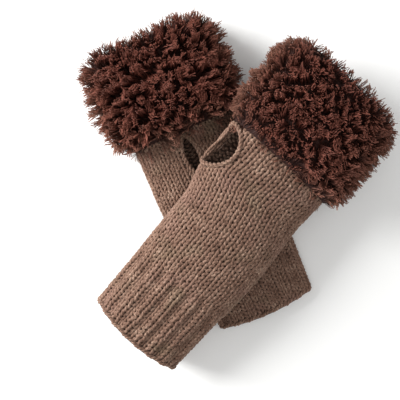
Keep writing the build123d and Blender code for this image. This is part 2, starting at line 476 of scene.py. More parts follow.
def yarn_piece(name, paths, radius, material, seed):
    """Yarn along some paths, each a pair of its points and whether it is closed."""
    points, edges = [], []
    for line, closed in paths:
        start = len(points)
        points.extend(line)
        edges.extend((start + k, start + k + 1) for k in range(len(line) - 1))
        if closed:
            edges.append((start + len(line) - 1, start))
    piece = mesh_piece(name, points, (), edges)
    values = {
        "Yarn Radius": radius,
        "Sides": YARN_SIDES,
        "Unevenness": YARN_UNEVENNESS,
        "Seed": seed,
        "Yarn": material,
    }
    made_by(yarn_tree, piece, values)
    print(name, "paths", len(paths), "triangles", triangle_count(piece))
    return piece



# %% [markdown]
# ## The wool
# The yarn is a heathered worsted wool: fibres dyed pinkish taupe, tan and olive are carded
# together before spinning, so colour drifts in soft patches along the yarn and across the
# fabric. Wool scatters light with no clear highlight, so its roughness is high, and a
# little sheen stands for the halo of fine fibres. The twist of two plies, about 6 mm for a
# full turn, is a shallow bump with painted shade in the groove.

# %% Wool material
PLIES = 2
PLY_TURN = 6.0 * MM         # length of yarn in which a ply goes once round
FIBRE_SIZE = 1.6 * MM       # a flock of fibres of one colour
DRIFT_SIZE = 9.0 * MM       # a stretch of yarn of one mixture
FUZZ_SIZE = 0.45 * MM
PATCH_SOFTNESS = 0.18
GROOVE_SHADE_STRENGTH = 0.5
WOOL_IOR = 1.54


def colour_ramp(tree, factor, stops):
    """A ramp of sRGB hex colours at given places."""
    node = add_node(tree, "ShaderNodeValToRGB", None, {"Fac": factor})
    ramp = node.color_ramp
    while len(ramp.elements) < len(stops):
        ramp.elements.new(0.5)
    for element, (place, colour) in zip(ramp.elements, stops):
        element.position = place
        element.color = linear(colour)
    return node.outputs["Color"]


def noise(tree, place, size, detail=2.0, roughness=0.5):
    """Soft noise whose blotches are about the given size in metres."""
    inputs = {"Vector": place, "Scale": 1 / size, "Detail": detail, "Roughness": roughness}
    return add_node(tree, "ShaderNodeTexNoise", None, inputs).outputs["Fac"]


def mixed(tree, factor, first, second):
    """Two colours mixed by a factor."""
    inputs = {0: factor, 6: first, 7: second}
    return add_node(tree, "ShaderNodeMix", {"data_type": "RGBA"}, inputs).outputs[2]


def mapped(tree, value, start, end, low, high):
    """A value that goes from low to high while another goes from start to end."""
    inputs = {"Value": value, "From Min": start, "From Max": end, "To Min": low, "To Max": high}
    return add_node(tree, "ShaderNodeMapRange", None, inputs).outputs[0]


def attribute(tree, name, output):
    """An attribute that the geometry trees stored."""
    return add_node(tree, "ShaderNodeAttribute", {"attribute_name": name}).outputs[output]


def yarn_twist(tree, plies, turn_length):
    """1 on the crown of a ply and 0 in the groove between two, from the stored wrap."""
    wrap = attribute(tree, "yarn_wrap", "Vector")
    parts = add_node(tree, "ShaderNodeSeparateXYZ", None, {0: wrap}).outputs
    around = math_node(tree, "ARCTAN2", parts["Y"], parts["X"])
    around = math_node(tree, "MULTIPLY", around, float(plies))
    along = math_node(tree, "MULTIPLY", parts["Z"], plies * TURN / turn_length)
    wave = math_node(tree, "SINE", math_node(tree, "ADD", around, along))
    return math_node(tree, "ADD", math_node(tree, "MULTIPLY", wave, 0.5), 0.5)


def yarn_material(name, stops, patch_colours, groove, sheen_tint):
    """Heathered spun yarn: drifting colours, painted shade in the grooves between plies, soft halo."""
    material = bpy.data.materials.new(name)
    material.use_nodes = True
    tree = material.node_tree
    shader = tree.nodes["Principled BSDF"]
    place = add_node(tree, "ShaderNodeTexCoord").outputs["Object"]
    fibres = math_node(tree, "MULTIPLY", noise(tree, place, FIBRE_SIZE, 3.0, 0.7), 0.6)
    drift = math_node(tree, "MULTIPLY", noise(tree, place, DRIFT_SIZE, 2.0), 0.4)
    blend = math_node(tree, "ADD", fibres, drift)
    colour = colour_ramp(tree, blend, stops)
    for patch, (size, edge, tint, strength) in enumerate(patch_colours):
        inputs = {"Vector": place, "Location": (0.3 * patch, 0.7, 0.1)}
        moved = add_node(tree, "ShaderNodeMapping", None, inputs).outputs[0]
        amount = noise(tree, moved, size, 1.0)
        amount = mapped(tree, amount, edge, edge + PATCH_SOFTNESS, 0.0, strength)
        colour = mixed(tree, amount, colour, linear(tint))
    twist = yarn_twist(tree, PLIES, PLY_TURN)
    # Painted shade: the colour is darkened towards the groove colour in the groove between two plies.
    shade = mapped(tree, twist, 0.0, 1.0, GROOVE_SHADE_STRENGTH, 0.0)
    colour = mixed(tree, shade, colour, linear(groove))
    tree.links.new(colour, shader.inputs["Base Color"])
    fuzz = math_node(tree, "MULTIPLY", noise(tree, place, FUZZ_SIZE, 2.0, 0.7), 0.8)
    height = math_node(tree, "ADD", twist, fuzz)
    inputs = {"Height": height, "Strength": 0.55, "Distance": 0.5 * MM}
    bump = add_node(tree, "ShaderNodeBump", None, inputs)
    tree.links.new(bump.outputs[0], shader.inputs["Normal"])
    shader.inputs["Roughness"].default_value = 0.88
    shader.inputs["IOR"].default_value = WOOL_IOR
    shader.inputs["Specular IOR Level"].default_value = 0.25
    shader.inputs["Sheen Weight"].default_value = 0.25
    shader.inputs["Sheen Roughness"].default_value = 0.5
    shader.inputs["Sheen Tint"].default_value = linear(sheen_tint)
    return material


wool = yarn_material(
    "heathered_worsted_wool_spun",
    [(0.32, "4E372C"), (0.44, "785A4A"), (0.56, "8F7160"), (0.68, "B89C88")],
    [(26 * MM, 0.52, "8C6B5E", 0.6), (19 * MM, 0.56, "7A6A54", 0.5)],
    # colour of the painted shade in the grooves between plies
    "452F25",
    "D9C2B2",
)
fur_core = yarn_material(
    "fur_yarn_core_spun",
    [(0.30, "1C0C09"), (0.50, "2E1712"), (0.72, "45261E")],
    [(20 * MM, 0.55, "3A1F1A", 0.5)],
    # colour of the painted shade in the grooves between plies
    "120705",
    "6B463B",
)
print("materials:", wool.name, fur_core.name)

# %% [markdown]
# ## Stitches
# One knitted stitch is a loop pulled through the loop below it. Seen from the front it is
# two legs: here the left leg leans and the right leg stands almost upright, which is what
# a firmly plied yarn does. The curve below is one stitch in a unit cell. A round of the
# glove repeats it around the tube as one unbroken yarn, and the next round hooks into it.
# Real loops leave real holes, so the fabric is right from both sides: bars of yarn show
# on the inside. Between the front and back loops lies a thin dark sheet of painted shade.

# %% Knitting a tube
STITCHES = 32
STITCH_PATH = np.array([
    (0.00, 1.15, -0.40),
    (0.22, 1.05, -0.15),
    (0.40, 0.85, 0.35),
    (0.30, 0.50, 0.50),
    (0.14, 0.18, 0.42),
    (0.12, -0.05, 0.10),
    (0.28, -0.28, -0.35),
    (0.45, -0.34, -0.45),
    (0.64, -0.26, -0.30),
    (0.80, 0.00, 0.30),
    (0.80, 0.30, 0.50),
    (0.74, 0.65, 0.55),
    (0.72, 0.95, 0.40),
])
YARN_RADIUS = 1.28 * MM
LOOP_DEPTH = 1.25 * MM      # one unit of height in the stitch path
LOOP_SEAT = 2.05 * MM       # how far under the outer surface the loops are centred
PURL_SINK = 2.1 * MM        # how far the purl columns of the rib lie back
KNIT_SHARE = 0.58           # of a rib repeat that its knit column takes
GRID_STEPS = 4              # grid points for each stitch
UNEVEN_ALONG = 0.07         # how far a loop strays along and across, in stitches
UNEVEN_ACROSS = 0.045
UNEVEN_DEPTH = 0.12         # and how much its depth differs
RIB_FADE = 2.0              # rounds in which the rib flattens into plain fabric


def rib_warp(around, amount):
    """Widens knit columns and narrows purl columns by moving where they meet."""
    repeat = np.floor(around / 2) * 2
    inside = (around - repeat) / 2
    knit = inside / 0.5 * KNIT_SHARE
    purl = KNIT_SHARE + (inside - 0.5) / 0.5 * (1 - KNIT_SHARE)
    warped = np.where(inside < 0.5, knit, purl)
    return repeat + 2 * (inside + (warped - inside) * amount)


def knitted_rounds(grid, rounds, first_round, ribbed, seed):
    """The yarn path of each round on a surface grid; the first rounds may be ribbed."""
    normals = grid_normals(grid)
    dice = np.random.default_rng(seed)
    paths = []
    for number in range(rounds):
        stitch = np.arange(STITCHES)
        across = (stitch[:, None] + STITCH_PATH[None, :, 0]).ravel()
        along = np.tile(STITCH_PATH[:, 1], STITCHES)
        height = np.tile(STITCH_PATH[:, 2], STITCHES)
        loose = np.repeat(dice.normal(0, 1, (3, STITCHES)), len(STITCH_PATH), axis=1)
        along = along + UNEVEN_ALONG * loose[0]
        across = across + UNEVEN_ACROSS * loose[1]
        ring = np.clip(number + first_round + along, 0, len(grid) - 1.001)
        fade = np.clip((ribbed - number) / RIB_FADE, 0, 1) if ribbed else 0.0
        around = rib_warp(across, fade) / STITCHES
        purl_middle = (1 + KNIT_SHARE) / 2
        purl_wave = 0.5 + 0.5 * np.cos(TURN * (around * STITCHES / 2 - purl_middle))
        sink = PURL_SINK * fade * purl_wave ** 1.5
        points = on_grid(grid, around, ring)
        outward = on_grid(normals, around, ring)
        depth = height * LOOP_DEPTH * (1 + UNEVEN_DEPTH * loose[2]) - LOOP_SEAT - sink
        paths.append(points + outward * depth[:, None])
    return paths


def rows_of(span, rounds):
    """Distances of the rounds' borders, evenly from one end of a span to the other."""
    return np.linspace(span[0], span[1], rounds + 1)


RIB_ROUNDS = 16
HAND_ROUNDS = 31
FABRIC_PARTS = ("cast_on_edge", "rib_cuff", "hand", "thumb_edge", "fur_join")
for side, glove in gloves.items():
    low, high = glove["edge"][0] + NUDGE, glove["join"][1] - NUDGE
    rib_rows, hand_rows = rows_of(glove["rib"], RIB_ROUNDS), rows_of(glove["hand"], HAND_ROUNDS)
    rows = np.concatenate([rib_rows[:-1], hand_rows])
    rows = np.concatenate([[low], np.clip(rows, low, high), [high]])
    glove["rows"] = rows
    fabric = surface_grid(glove, FABRIC_PARTS, rows, STITCHES * GRID_STEPS)
    glove["fabric"] = bowed(glove, fabric, rows)
    palm = glove["fabric"][(len(rows) + RIB_ROUNDS) // 2]
    girth = np.linalg.norm(np.diff(palm, axis=0, append=palm[:1]), axis=1).sum() / MM
    print(side, "girth of the hand", round(girth), "mm, one stitch", round(girth / STITCHES, 1), "mm")

# %% [markdown]
# The thumb opening is cut out of those rounds: where a path leaves the CAD wall of the hand
# it stops, as the yarn does where the knitter turns back at the opening's edge.


# %% Cutting the rounds at the thumb opening
YARN_SLACK = 0.25 * MM      # yarn may lie this far outside the wall before it is cut
SHORTEST_RUN = 4            # points; shorter leftovers are dropped
OPENING_MARGIN = 4 * MM
KNIT_SEEDS = {"right": 11, "left": 23}


def inside_solid(tree, point, slack):
    """Whether a point lies in a closed solid, or no further from it than the slack."""
    near, outward, _, distance = tree.find_nearest(Vector(point))
    return (Vector(point) - near).dot(outward) < 0 or distance < slack


def cut_at_opening(paths, tree, centre, reach):
    """Splits closed rounds into the runs of yarn that lie in the hand's wall."""
    kept = []
    for line in paths:
        near_hole = np.linalg.norm(line - centre, axis=1) < reach
        if not near_hole.any():
            kept.append((line, True))
            continue
        solid = ~near_hole
        for place in np.flatnonzero(near_hole):
            solid[place] = inside_solid(tree, line[place], YARN_SLACK)
        if solid.all():
            kept.append((line, True))
            continue
        first = int(np.flatnonzero(~solid)[0])
        line, solid = np.roll(line, -first, axis=0), np.roll(solid, -first)
        run = []
        for point, keep in zip(line, solid):
            if keep:
                run.append(point)
            elif run:
                if len(run) > SHORTEST_RUN:
                    kept.append((np.array(run), False))
                run = []
        if len(run) > SHORTEST_RUN:
            kept.append((np.array(run), False))
    return kept


for side, glove in gloves.items():
    fabric = glove["fabric"]
    seed = KNIT_SEEDS[side]
    rounds = knitted_rounds(fabric, RIB_ROUNDS, 1, RIB_ROUNDS, seed)
    closed_rounds = [(line, True) for line in rounds]
    rib = yarn_piece(side + "_rib_knitting", closed_rounds, YARN_RADIUS, wool, seed)
    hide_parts(side + "_rib_cuff")
    rim = node_points(side + "_thumb_edge")
    glove["opening"] = rim.mean(0)
    reach = np.linalg.norm(rim - rim.mean(0), axis=1).max() + OPENING_MARGIN
    glove["opening_reach"] = reach
    hand_tree = solid_tree([side + "_hand"])
    rounds = knitted_rounds(fabric, HAND_ROUNDS, 1 + RIB_ROUNDS, 0, seed + 1)
    runs = cut_at_opening(rounds, hand_tree, glove["opening"], reach)
    hand = yarn_piece(side + "_hand_knitting", runs, YARN_RADIUS, wool, seed + 1)
    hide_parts(side + "_hand")
    for piece in (rib, hand):
        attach(piece, side + "_glove")

# %% [markdown]
# ## A sheet of painted shade
# Between the front and the back of the loops lies a thin sheet that closes the holes. It is a
# sheet just under the middle of the fabric, open at the thumb, and its dark colour is painted
# shade for the inside of the fabric. Solidify gives it two faces.

# %% The sheet of painted shade inside the fabric
SHADE_LAYER_DEPTH = 2.7 * MM
SHADE_LAYER_WALL = 0.4 * MM
SHADE_LAYER_RINGS = 3              # rings of the shade sheet for each round of stitches
WALLED_PARTS = ("cast_on_edge", "rib_cuff", "hand", "fur_join")
# The dark colours of this sheet are painted shade: they stand for the dark inside of the fabric seen
# through the holes.
shade_paint = yarn_material(
    "dark_wool_painted_shade",
    [(0.35, "37271F"), (0.60, "46332A"), (0.75, "544036")],
    [(14 * MM, 0.55, "40342A", 0.5)],
    # colour of the painted shade in the grooves between plies
    "37271F",
    "A08676",
)


def tube_sheet(name, rings, keep_face, material, wall):
    """A tube of rings made a closed thin wall, without the faces that are not kept."""
    columns = rings.shape[1]
    faces = ring_faces(len(rings), columns, False)
    points = rings.reshape(-1, 3)
    faces = [face for face in faces if keep_face(points[list(face)].mean(0))]
    used = sorted({corner for face in faces for corner in face})
    place = {corner: number for number, corner in enumerate(used)}
    sheet = mesh_piece(name, points[used], [[place[corner] for corner in face] for face in faces])
    wall_maker = sheet.modifiers.new("wall", "SOLIDIFY")
    wall_maker.thickness = wall
    wall_maker.offset = -1
    graph = bpy.context.evaluated_depsgraph_get()
    sheet.data = bpy.data.meshes.new_from_object(sheet.evaluated_get(graph), depsgraph=graph)
    sheet.modifiers.clear()
    sheet.data.materials.clear()
    sheet.data.materials.append(material)
    for face in sheet.data.polygons:
        face.use_smooth = True
    return sheet


def ring_faces(rings, columns, closed):
    """Faces of a tube of rings, which may join its last ring to its first."""
    faces = []
    for row in range(rings if closed else rings - 1):
        above = (row + 1) % rings * columns
        row = row * columns
        for column in range(columns):
            beside = (column + 1) % columns
            faces.append((row + column, row + beside, above + beside, above + column))
    return faces


for side, glove in gloves.items():
    fabric = glove["fabric"]
    normals = grid_normals(fabric)
    turns = np.linspace(0, 1, STITCHES * GRID_STEPS, endpoint=False)
    rings = []
    for place in np.linspace(0, len(fabric) - 1.001, SHADE_LAYER_RINGS * len(fabric)):
        row = np.full(len(turns), place)
        rings.append(on_grid(fabric, turns, row) - on_grid(normals, turns, row) * SHADE_LAYER_DEPTH)
    wall_tree = solid_tree([side + "_" + part for part in WALLED_PARTS])
    edge_tree = solid_tree([side + "_thumb_edge"])
    opening, reach = glove["opening"], glove["opening_reach"]

    def in_fabric(point):
        """Whether the sheet of painted shade goes on here: everywhere but in the thumb opening."""
        if np.linalg.norm(point - opening) > reach:
            return True
        return inside_solid(wall_tree, point, 0.3 * MM) or inside_solid(edge_tree, point, 0.1 * MM)

    sheet = tube_sheet(side + "_painted_shade_layer", np.array(rings), in_fabric, shade_paint, SHADE_LAYER_WALL)
    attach(sheet, side + "_glove")
    print(sheet.name, "faces", len(sheet.data.polygons))

# %% [markdown]
# ## Edges
# Each edge of a knitted tube is a chain: the last loops lie over one another like the
# strands of a cord. So every edge here is a two-strand cord wound round the edge's middle
# line: at the wrist, round the thumb opening, where the fur begins, and where it ends. At
# the wrist the edge dips between the ribs, because the purl columns draw it in.


# %% Corded edges
# How far each strand of a cord lies off its middle, its radius, and the length of one turn.
CAST_ON_CORD = (0.75 * MM, 0.95 * MM, 6 * MM)
SELVEDGE_CORD = (0.85 * MM, 1.15 * MM, 7 * MM)
JOIN_CORD = (0.9 * MM, 1.2 * MM, 7 * MM)
CAST_OFF_CORD = (1.0 * MM, 1.3 * MM, 8 * MM)
CAST_ON_DEPTH = 1.9 * MM    # how far under the outer surface each cord lies
SELVEDGE_DEPTH = 1.0 * MM
JOIN_DEPTH = 1.4 * MM
SCALLOP = 0.5 * MM          # how far the wrist edge dips between two ribs
EDGE_STEPS = 16             # points for each stitch of an edge
LIP_POINTS = 160
LIP_NEAREST, LIP_FURTHEST, LIP_STEP = 2 * MM, 34 * MM, 0.3 * MM
LIP_SMOOTHINGS = 4
ABOVE, BELOW = 30 * MM, 50 * MM
EDGE_SEEDS = {"right": 60, "left": 70}


def corded(name, line, outward, sideways, cord, material, seed):
    """Two strands wound round a closed line, given the directions off the line at each point."""
    wind, strand, turn_length = cord
    ahead = np.diff(line, axis=0, append=line[:1])
    run = np.concatenate([[0], np.cumsum(np.linalg.norm(ahead, axis=1))[:-1]])
    total = run[-1] + np.linalg.norm(ahead[-1])
    turns = max(1, round(total / turn_length))
    strands = []
    for half in (0.0, 0.5):
        angle = TURN * (turns * run / total + half)
        offset = outward * np.cos(angle)[:, None] + sideways * np.sin(angle)[:, None]
        strands.append((line + offset * wind, True))
    return yarn_piece(name, strands, strand, material, seed)


def edge_ring(glove, grid, distances, distance, depth, scallop):
    """A closed line round the tube at one distance, sunk by a depth, with its directions."""
    count = EDGE_STEPS * STITCHES
    turns = np.linspace(0, 1, count, endpoint=False)
    row = np.full(count, np.interp(distance, distances, np.arange(len(distances))))
    outward = on_grid(grid_normals(grid), turns, row)
    wave = np.cos(TURN * turns * STITCHES / 2)
    line = on_grid(grid, turns, row) - outward * depth
    line = line + np.outer(wave * scallop, glove["axis"])
    return line, outward, np.tile(glove["axis"], (count, 1))


def thumb_ring(glove):
    """The middle line of the thumb opening's edge, found by rays cast down beside it."""
    side = glove["side"]
    tree = solid_tree([side + "_thumb_edge"])
    grid = glove["fabric"]
    middle = glove["opening"]
    flat = np.linalg.norm(grid - middle, axis=2)
    row, column = np.unravel_index(flat.argmin(), flat.shape)
    down = -grid_normals(grid)[row, column]
    along = glove["axis"]
    beside = np.cross(down, along)
    line = []
    for angle in np.linspace(0, TURN, LIP_POINTS, endpoint=False):
        way = along * math.cos(angle) + beside * math.sin(angle)
        met = []
        for reach in np.arange(LIP_NEAREST, LIP_FURTHEST, LIP_STEP):
            start = middle + way * reach - down * ABOVE
            spot = tree.ray_cast(Vector(start), Vector(down), BELOW)[0]
            if spot:
                met.append(np.array(spot))
        if met:
            line.append(np.mean(met, axis=0))
    line = np.array(line)
    for _ in range(LIP_SMOOTHINGS):
        line = (np.roll(line, 1, axis=0) + 2 * line + np.roll(line, -1, axis=0)) / 4
    ahead = np.roll(line, -1, axis=0) - np.roll(line, 1, axis=0)
    ahead = ahead / np.linalg.norm(ahead, axis=1, keepdims=True)
    outward = np.tile(-down, (len(line), 1))
    return line, outward, np.cross(ahead, outward)


for side, glove in gloves.items():
    fabric, rows, seed = glove["fabric"], glove["rows"], EDGE_SEEDS[side]
    ring = edge_ring(glove, fabric, rows, sum(glove["edge"]) / 2, CAST_ON_DEPTH, SCALLOP)
    edge = corded(side + "_cast_on_chain", *ring, CAST_ON_CORD, wool, seed)
    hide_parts(side + "_cast_on_edge")
    line, outward, sideways = thumb_ring(glove)
    line = line - outward * SELVEDGE_DEPTH
    lip = corded(side + "_thumb_selvedge", line, outward, sideways, SELVEDGE_CORD, wool, seed + 1)
    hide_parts(side + "_thumb_edge")
    ring = edge_ring(glove, fabric, rows, sum(glove["join"]) / 2, JOIN_DEPTH, 0.0)
    join = corded(side + "_fur_join_round", *ring, JOIN_CORD, fur_core, seed + 2)
    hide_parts(side + "_fur_join")
    for piece, slot in ((edge, "wool_yarn"), (lip, "wool_yarn"), (join, "fur_ground")):
        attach(piece, side + "_glove")

# %% [markdown]
# ## Yarn tails
# Where a yarn begins or ends, its last few centimetres are woven in on the inside. Each
# tail is the same yarn as its fabric, and snakes a little as it goes under the loops.


# %% Tails inside the gloves
TAIL_RADIUS = 0.95 * MM
TAIL_POINTS = 40
TAIL_WAVES = 5
TAIL_SWAY = 0.5 * MM
TAIL_SEED = 9


def woven_tail(glove, part, material):
    """A yarn tail that snakes along the place of its CAD node."""
    side = glove["side"]
    points = node_points(f"{side}_{part}")
    reach = points @ glove["axis"]
    near = points[reach < reach.min() + 0.5 * MM].mean(0)
    far = points[reach > reach.max() - 0.5 * MM].mean(0)
    share = np.linspace(0, 1, TAIL_POINTS)[:, None]
    sway = np.sin(share * TURN * TAIL_WAVES) * TAIL_SWAY * glove["across"]
    line = near + (far - near) * share + sway
    tail = yarn_piece(f"{side}_{part}_yarn", [(line, False)], TAIL_RADIUS, material, TAIL_SEED)
    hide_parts(f"{side}_{part}")
    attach(tail, side + "_glove")


for glove in gloves.values():
    woven_tail(glove, "cast_on_tail", wool)
    woven_tail(glove, "fur_tail", fur_core)

# %% [markdown]
# ## Fur
# The finger cuff is knitted from a fur yarn, whose pile stands out 15 to 20 mm and gathers
# into curly tufts. Hair by hair it is grown from a bed: a swollen tube around the knitted
# ground. A tree scatters roots on the bed, stands a bent strand on each, pulls the tips of
# neighbours together into tufts, curls them, and runs a thin triangle along each strand.
# The bed's own attributes say how long the pile is and how it is brushed at each place.

# %% Fur strands tree
STRAND_POINTS = 5
STRAND_SIDES = 3
STRAND_LENGTH = 18 * MM
ROOT_RADIUS = 0.28 * MM
TIP_THINNING = 0.7          # share of its thickness that a strand loses towards its tip
LENGTHS = (0.72, 1.12)      # shortest and longest strand, as shares of the full length
TAMENESS = (0.0, 0.42)      # how far a strand gives way to its tuft
TAMENESS_SEED = 77
TUFT_SIZE = 5.0 * MM
TUFT_DIFFERENCE = 0.25      # how much shorter the shortest tufts are
HUB_SHIFT = 1.7             # gives a tuft's height another random number than its lean
CURL = 8 * MM
CURL_SIZE = 7.0 * MM
LOWEST = 0.4 * MM           # strands that reach the table bend and lie on it


def vector_node(tree, operation, first, second=None, scale=None):
    """The result of one vector sum."""
    inputs = {0: first}
    if second is not None:
        inputs[1] = second
    if scale is not None:
        inputs["Scale"] = scale
    return add_node(tree, "ShaderNodeVectorMath", {"operation": operation}, inputs).outputs["Vector"]


def read_attribute(tree, kind, name):
    """An attribute of the bed that the pile grows on."""
    return add_node(tree, "GeometryNodeInputNamedAttribute", {"data_type": kind}, {"Name": name}).outputs[0]


def random_from(tree, place, output):
    """A random value or colour that stays the same for one place."""
    settings = {"noise_dimensions": "3D"}
    return add_node(tree, "ShaderNodeTexWhiteNoise", settings, {"Vector": place}).outputs[output]


def stalks_on(tree, dots):
    """A short straight line of a few points on each dot."""
    stalk = add_node(
        tree, "GeometryNodeCurvePrimitiveLine", None, {"Start": (0, 0, 0), "End": (0, 0, 1 * MM)}
    ).outputs[0]
    inputs = {"Curve": stalk, "Count": STRAND_POINTS}
    stalk = add_node(tree, "GeometryNodeResampleCurve", None, inputs).outputs[0]
    inputs = {"Points": dots, "Instance": stalk}
    stalks = add_node(tree, "GeometryNodeInstanceOnPoints", None, inputs).outputs[0]
    return add_node(tree, "GeometryNodeRealizeInstances", None, {"Geometry": stalks}).outputs[0]


def curled(tree, place, amount):
    """How far a soft noise pushes a place aside."""
    inputs = {"Vector": place, "Scale": 1 / CURL_SIZE, "Detail": 1.0}
    field = add_node(tree, "ShaderNodeTexNoise", {"noise_dimensions": "3D"}, inputs).outputs["Color"]
    return vector_node(tree, "SCALE", vector_node(tree, "SUBTRACT", field, (0.5, 0.5, 0.5)), None, amount)


def kept_above(tree, place, lowest):
    """A place, lifted to the lowest height if it lies under it."""
    split = add_node(tree, "ShaderNodeSeparateXYZ", None, {0: place}).outputs
    inputs = {"X": split["X"], "Y": split["Y"], "Z": math_node(tree, "MAXIMUM", split["Z"], lowest)}
    return add_node(tree, "ShaderNodeCombineXYZ", None, inputs).outputs[0]


def build_strand_tree(tree):
    """Fills the tree that grows the pile."""
    inlet = add_node(tree, "NodeGroupInput").outputs
    thick = read_attribute(tree, "FLOAT", "pile")
    density = math_node(tree, "MULTIPLY", thick, inlet["Strands Per Area"])
    scatter = add_node(
        tree,
        "GeometryNodeDistributePointsOnFaces",
        {"distribute_method": "RANDOM"},
        {"Mesh": inlet["Geometry"], "Density": density, "Seed": inlet["Seed"]},
    )
    # What a strand needs to know about its root is kept before the strands are made.
    dots = scatter.outputs["Points"]
    dots, root = captured(tree, dots, "VECTOR", add_node(tree, "GeometryNodeInputPosition").outputs[0])
    dots, outward = captured(tree, dots, "VECTOR", scatter.outputs["Normal"])
    dots, chance = captured(tree, dots, "FLOAT", random_number(tree, *LENGTHS, inlet["Seed"]))
    dots, tameness = captured(tree, dots, "FLOAT", random_number(tree, *TAMENESS, TAMENESS_SEED))
    dots, depth = captured(tree, dots, "FLOAT", thick)
    dots, brush = captured(tree, dots, "VECTOR", read_attribute(tree, "FLOAT_VECTOR", "brush"))
    strands = stalks_on(tree, dots)
    reach = add_node(tree, "GeometryNodeSplineParameter").outputs["Factor"]
    strands, reach = captured(tree, strands, "FLOAT", reach)
    # Tufts: the cell of a Voronoi pattern that a root lies in gathers its tips.
    cells = add_node(
        tree,
        "ShaderNodeTexVoronoi",
        {"feature": "F1", "voronoi_dimensions": "3D"},
        {"Vector": root, "Scale": math_node(tree, "DIVIDE", 1.0, inlet["Tuft Size"]), "Randomness": 1.0},
    )
    hub = cells.outputs["Position"]
    lean = vector_node(tree, "SUBTRACT", random_from(tree, hub, "Color"), (0.5, 0.5, 0.5))
    tuft_height = random_from(tree, vector_node(tree, "SCALE", hub, None, HUB_SHIFT), "Value")
    tall = math_node(tree, "MULTIPLY", tuft_height, TUFT_DIFFERENCE)
    tall = math_node(tree, "ADD", tall, 1 - TUFT_DIFFERENCE)
    length = math_node(tree, "MULTIPLY", inlet["Strand Length"], chance)
    length = math_node(tree, "MULTIPLY", length, depth)
    length = math_node(tree, "MULTIPLY", length, tall)
    growth = vector_node(tree, "ADD", vector_node(tree, "ADD", outward, brush), lean)
    growth = vector_node(tree, "NORMALIZE", growth)
    straight = vector_node(tree, "SCALE", growth, None, math_node(tree, "MULTIPLY", length, reach))
    bend = math_node(tree, "MULTIPLY", reach, reach)
    gather = vector_node(tree, "SUBTRACT", hub, root)
    gather = vector_node(tree, "SCALE", gather, None, math_node(tree, "MULTIPLY", bend, tameness))
    upright = vector_node(tree, "ADD", root, straight)
    curl = curled(tree, upright, math_node(tree, "MULTIPLY", reach, inlet["Curl"]))
    place = vector_node(tree, "ADD", vector_node(tree, "ADD", upright, gather), curl)
    inputs = {"Geometry": strands, "Position": kept_above(tree, place, inlet["Lowest"])}
    strands = add_node(tree, "GeometryNodeSetPosition", None, inputs).outputs[0]
    taper = math_node(tree, "SUBTRACT", 1.0, math_node(tree, "MULTIPLY", bend, TIP_THINNING))
    inputs = {"Curve": strands, "Radius": taper}
    strands = add_node(tree, "GeometryNodeSetCurveRadius", None, inputs).outputs[0]
    inputs = {"Resolution": STRAND_SIDES, "Radius": inlet["Root Radius"]}
    section = add_node(tree, "GeometryNodeCurvePrimitiveCircle", None, inputs).outputs[0]
    hair = swept(tree, strands, section)
    facing_up = add_node(tree, "ShaderNodeSeparateXYZ", None, {0: outward}).outputs["Z"]
    facing_aside = math_node(tree, "SUBTRACT", 1.0, facing_up)
    # Stored for painted light: the material makes pile that faces aside paler.
    for name, value in (
        ("strand_reach", reach), ("tuft_tone", tuft_height), ("painted_side_light", facing_aside)
    ):
        hair = stored(tree, hair, "FLOAT", name, value)
    finished(tree, hair, inlet["Yarn"])


strand_tree = named_tree(
    "pile_on_a_bed",
    {
        "Strands Per Area": "Float",
        "Strand Length": "Float",
        "Root Radius": "Float",
        "Tuft Size": "Float",
        "Curl": "Float",
        "Lowest": "Float",
        "Seed": "Int",
        "Yarn": "Material",
    },
)
build_strand_tree(strand_tree)
print(strand_tree.name, "nodes", len(strand_tree.nodes))

# %% [markdown]
# ## The look of the fur
# The pile is dyed acrylic. Its colour is painted nearly black at the root, as shade deep between
# the strands, and red-brown at the tip, partly its dye and partly painted light. Where the pile
# faces aside it is painted paler than on top, as painted light for the lit sides of the cuff.

# %% Fur material
FUR_IOR = 1.55
WARM_SIZE = 14 * MM
FINE_SIZE = 0.6 * MM


def fur_material():
    """Acrylic faux fur: painted shade at the roots, red-brown tips, and painted light where the pile faces
    aside.
    """
    material = bpy.data.materials.new("faux_fur_acrylic_pile")
    material.use_nodes = True
    tree = material.node_tree
    shader = tree.nodes["Principled BSDF"]
    place = add_node(tree, "ShaderNodeTexCoord").outputs["Object"]
    reach = attribute(tree, "strand_reach", "Fac")
    # Painted shade at the root, where little light reaches between the strands; the lighter tip is partly
    # its dye and partly painted light.
    root_to_tip = [(0.0, "100201"), (0.35, "220906"), (0.7, "451A13"), (1.0, "A06252")]
    colour = colour_ramp(tree, reach, root_to_tip)
    warm = mapped(tree, noise(tree, place, WARM_SIZE, 2.0), 0.4, 0.65, 0.0, 1.0)
    colour = mixed(tree, math_node(tree, "MULTIPLY", warm, 0.35), colour, linear("58281B"))
    tone = math_node(tree, "MULTIPLY", attribute(tree, "tuft_tone", "Fac"), 0.35)
    colour = mixed(tree, tone, colour, linear("30110B"))
    # Painted light: pile whose bed faces aside is made paler, more so towards the tips.
    side_paint = mapped(tree, attribute(tree, "painted_side_light", "Fac"), 0.03, 0.45, 0.0, 0.8)
    colour = mixed(tree, math_node(tree, "MULTIPLY", side_paint, reach), colour, linear("8E6553"))
    tree.links.new(colour, shader.inputs["Base Color"])
    inputs = {"Height": noise(tree, place, FINE_SIZE, 2.0), "Strength": 0.3, "Distance": 0.2 * MM}
    bump = add_node(tree, "ShaderNodeBump", None, inputs)
    tree.links.new(bump.outputs[0], shader.inputs["Normal"])
    shader.inputs["Roughness"].default_value = 0.55
    shader.inputs["IOR"].default_value = FUR_IOR
    shader.inputs["Specular IOR Level"].default_value = 0.25
    shader.inputs["Sheen Weight"].default_value = 0.2
    shader.inputs["Sheen Tint"].default_value = linear("955F50")
    return material


fur = fur_material()
print("material:", fur.name)

